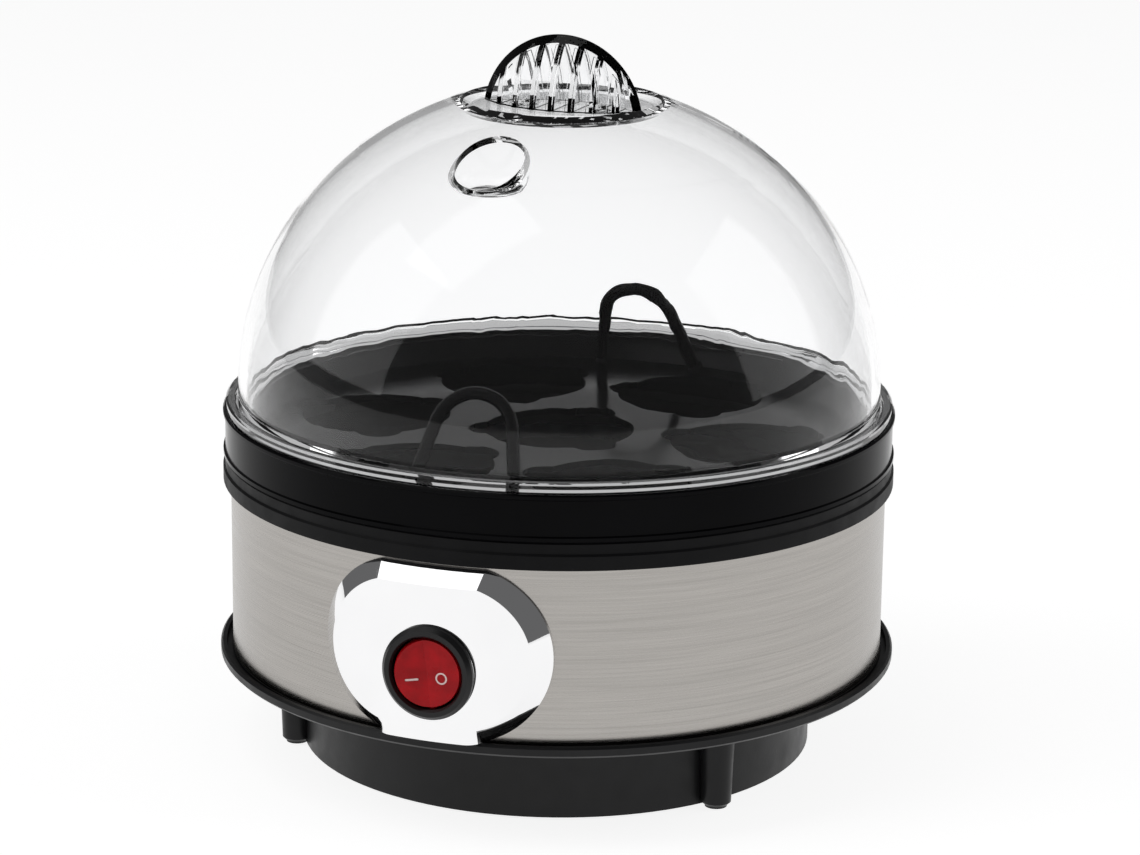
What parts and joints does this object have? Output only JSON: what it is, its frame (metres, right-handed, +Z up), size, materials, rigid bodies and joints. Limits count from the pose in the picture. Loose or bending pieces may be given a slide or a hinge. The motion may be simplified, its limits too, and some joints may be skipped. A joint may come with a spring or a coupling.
{
  "type": "egg cooker",
  "caption": "Round electric egg cooker with a steel band, a lift-out tray of egg holes with two arched handles, a clear domed lid and a rocker switch.",
  "frame": {"origin": "centre of the round body, on the plane its feet stand on", "axes": "+Z up through the lid's knob; -Y towards the front, with the control panel turned 20.4 degrees from -Y towards -X; +Y towards the cord gland at the back"},
  "size_m": [0.1712, 0.173, 0.18],
  "materials": {
    "black_moulding": "satin",
    "ring_moulding": "matt grain",
    "foot_rubber": "matt",
    "band_steel": "brushed round",
    "plate_coating": "dark non-stick coating",
    "seal_rubber": "matt",
    "zinc_steel": "zinc plated",
    "heater_sheath": "heat-dulled",
    "spreader_metal": "as cast",
    "shield_metal": "rolled",
    "switch_ceramic": "unglazed",
    "contact_brass": "satin",
    "panel_chrome": "polished",
    "switch_black": "satin",
    "lamp_glass": "clear",
    "rocker_red": "gloss",
    "block_nylon": "satin",
    "lead_brown": "satin",
    "lead_blue": "satin",
    "lead_green": "satin",
    "tray_gloss": "gloss",
    "handle_black": "satin",
    "clear_plastic": "clear gloss"
  },
  "bodies": {
    "base": {"base_cover": "black_moulding", "foot_pad_right": "foot_rubber", "foot_pad_left": "foot_rubber", "foot_pad_rear": "foot_rubber", "cover_screws": "zinc_steel", "cord_gland": "foot_rubber", "steel_band": "band_steel", "upper_housing": "ring_moulding", "heating_plate": "plate_coating", "plate_seal": "seal_rubber", "plate_studs": "zinc_steel", "plate_nuts": "zinc_steel", "heater_tube": "heater_sheath", "heater_pins": "zinc_steel", "heat_spreader": "spreader_metal", "thermostat": "switch_ceramic", "thermostat_bracket": "zinc_steel", "bracket_screws": "zinc_steel", "thermal_fuse": "spreader_metal", "heat_shield": "shield_metal", "earth_screw": "contact_brass", "control_panel": "panel_chrome", "panel_push_nuts": "zinc_steel", "switch_body": "switch_black", "switch_terminals": "contact_brass", "switch_lamp": "lamp_glass", "terminal_block": "block_nylon", "terminal_screws": "contact_brass", "lead_live": "lead_brown", "lead_switched": "lead_brown", "lead_return": "lead_blue", "lead_neutral": "lead_blue", "lead_earth": "lead_green"},
    "tray": {"egg_tray": "tray_gloss", "tray_handle_front": "handle_black", "tray_handle_rear": "handle_black"},
    "lid": {"lid_dome": "clear_plastic", "lid_knob": "clear_plastic"},
    "rocker": {"switch_rocker": "rocker_red"}
  },
  "joints": [
    {"name": "tray_lift", "type": "slide", "parent": "base", "child": "tray", "axis": [0, 0, 1], "range_m": [0, 0.06]},
    {"name": "lid_lift", "type": "slide", "parent": "tray", "child": "lid", "axis": [0, 0, 1], "range_m": [0, 0.1]},
    {"name": "rocker_turn", "type": "hinge", "parent": "base", "child": "rocker", "pos_m": [-0.02913, -0.08092, 0.043], "axis": [0.1061, -0.0395, -0.9936], "range_deg": [0, 17]}
  ]
}
